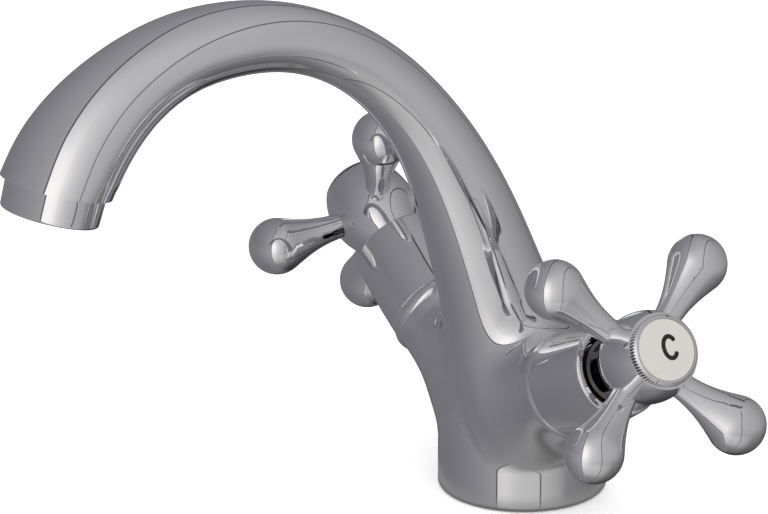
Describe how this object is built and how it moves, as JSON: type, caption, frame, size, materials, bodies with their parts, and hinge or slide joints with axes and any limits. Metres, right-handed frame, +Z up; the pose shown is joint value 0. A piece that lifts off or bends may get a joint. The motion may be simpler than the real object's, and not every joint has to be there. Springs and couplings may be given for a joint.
{
  "type": "basin mixer tap",
  "caption": "Chromed deck-standing basin mixer tap with a swan-neck spout, cross handles marked C and H on angled ceramic disc valves, aerator and clamping kit.",
  "frame": {"origin": "centre of the base's underside, in the plane where it stands on the basin", "axes": "+Z up, the spout points along -Y, the cold valve is on +X and the hot valve on -X"},
  "size_m": [0.1749, 0.1821, 0.1945],
  "materials": {
    "chrome": "polished chrome plate",
    "brass": "machined brass",
    "nickel": "nickel-plated brass",
    "rubber": "black nitrile rubber",
    "ceramic": "lapped alumina ceramic",
    "fibre": "red vulcanised fibre",
    "slip": "white low-friction plastic",
    "steel": "stainless steel",
    "zinc": "zinc-plated steel",
    "jet_plastic": "moulded plastic",
    "screen_plastic": "grey moulded plastic",
    "index_enamel": "off-white gloss",
    "letter_enamel": "black filled lettering"
  },
  "bodies": {
    "tap_body": {"body_casting": "chrome", "base_seal": "rubber", "fixing_stud": "zinc", "clamp_gasket": "rubber", "clamp_plate": "zinc", "clamp_nut": "brass", "aerator_housing": "chrome", "aerator_washer": "rubber", "aerator_insert": "jet_plastic", "aerator_screen": "screen_plastic", "cold_valve_shroud": "chrome", "cold_cartridge_body": "nickel", "cold_seat_seal": "rubber", "cold_cartridge_washer": "fibre", "cold_fixed_disc": "ceramic", "hot_valve_shroud": "chrome", "hot_cartridge_body": "nickel", "hot_seat_seal": "rubber", "hot_cartridge_washer": "fibre", "hot_fixed_disc": "ceramic"},
    "cold_valve": {"cold_moving_disc": "ceramic", "cold_spindle": "brass", "cold_thrust_washer": "slip", "cold_spindle_rings": "rubber", "cold_spindle_clip": "steel", "cold_handle": "chrome", "cold_handle_screw": "steel", "cold_index_cap": "chrome", "cold_index_disc": "index_enamel", "cold_letter": "letter_enamel"},
    "hot_valve": {"hot_moving_disc": "ceramic", "hot_spindle": "brass", "hot_thrust_washer": "slip", "hot_spindle_rings": "rubber", "hot_spindle_clip": "steel", "hot_handle": "chrome", "hot_handle_screw": "steel", "hot_index_cap": "chrome", "hot_index_disc": "index_enamel", "hot_letter": "letter_enamel"}
  },
  "joints": [
    {"name": "cold_handle_turn", "type": "hinge", "parent": "tap_body", "child": "cold_valve", "pos_m": [0.06726, -0.00607, 0.05792], "axis": [-0.8769, 0.0244, -0.4801], "range_deg": [0, 90]},
    {"name": "hot_handle_turn", "type": "hinge", "parent": "tap_body", "child": "hot_valve", "pos_m": [-0.06726, -0.00607, 0.05792], "axis": [-0.8769, -0.0244, 0.4801], "range_deg": [0, 90]}
  ]
}
